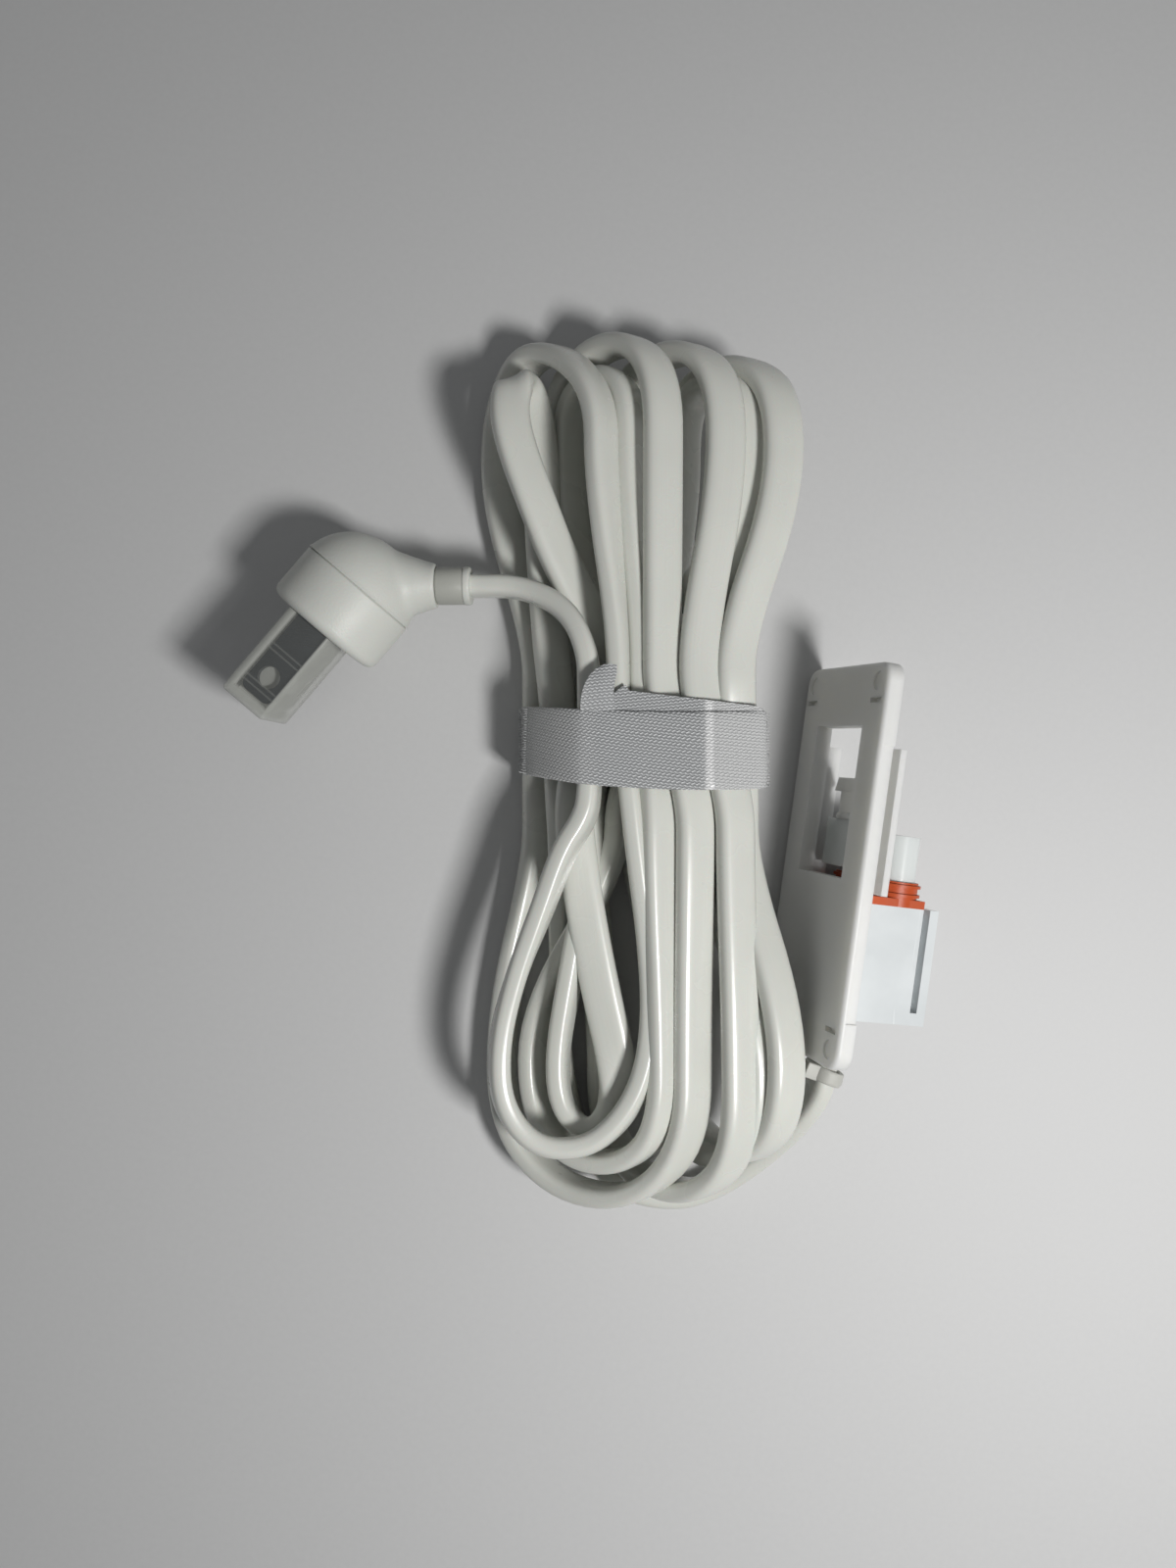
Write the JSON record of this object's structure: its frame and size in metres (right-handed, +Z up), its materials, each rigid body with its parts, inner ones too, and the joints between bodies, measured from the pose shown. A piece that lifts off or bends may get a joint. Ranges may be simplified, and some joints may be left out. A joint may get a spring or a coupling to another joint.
{
  "type": "extension cord",
  "caption": "White mains lead with an angled two-blade plug, a flat cord wound in a strapped hank, and a slide-on power connector with an orange seal on a slotted bracket.",
  "frame": {"origin": "middle of the bracket and its terminal box, on the table they lean on", "axes": "+Z up, +Y along the bracket from its cord end to its open end, +X towards the terminal box"},
  "size_m": [0.1284, 0.1597, 0.0295],
  "materials": {
    "bracket_white": "smooth moulded, slightly matt",
    "housing_white": "glossy moulded",
    "nose_translucent": "slightly translucent moulded",
    "brass_contact": "stamped and rolled",
    "core_insulation": "smooth insulation",
    "seal_orange": "soft satin silicone",
    "cord_white": "glossy flexible sheath",
    "tie_nylon": "satin nylon",
    "strap_cloth": "woven hook-and-loop tape",
    "plug_white": "matt moulded",
    "sleeve_grey": "flexible satin sleeve",
    "blade_metal": "plated blade",
    "cover_translucent": "thin translucent cap"
  },
  "bodies": {
    "body": {"blade_1": "blade_metal", "blade_2": "blade_metal", "blade_crimp_1": "blade_metal", "blade_crimp_2": "blade_metal", "blade_holder": "plug_white", "bracket_plate": "bracket_white", "cable_tie": "tie_nylon", "connector_nose": "nose_translucent", "contact_socket_1": "brass_contact", "contact_socket_2": "brass_contact", "cord_clamp": "bracket_white", "cord_hank": "cord_white", "housing_cover": "housing_white", "module_cord_end": "cord_white", "module_core_1": "core_insulation", "module_core_2": "core_insulation", "module_lead": "cord_white", "plug_base": "plug_white", "plug_cord_end": "cord_white", "plug_core_1": "core_insulation", "plug_core_2": "core_insulation", "plug_hood": "plug_white", "plug_lead": "cord_white", "plug_strain_relief": "sleeve_grey", "sealing_gasket": "seal_orange", "terminal_housing": "housing_white", "tie_strap": "strap_cloth"},
    "latch": {"latch_hook": "nose_translucent"},
    "cover": {"blade_cover": "cover_translucent"}
  },
  "joints": [
    {"name": "latch_flex", "type": "hinge", "parent": "body", "child": "latch", "pos_m": [-0.00341, 0.008, 0.0138], "axis": [-0.2772, 0, -0.9608], "range_deg": [0, 10], "stiffness_Nm_per_rad": 0.2},
    {"name": "cover_slide", "type": "slide", "parent": "body", "child": "cover", "axis": [-0.5402, -0.8415, 0], "range_m": [0, 0.02]}
  ]
}
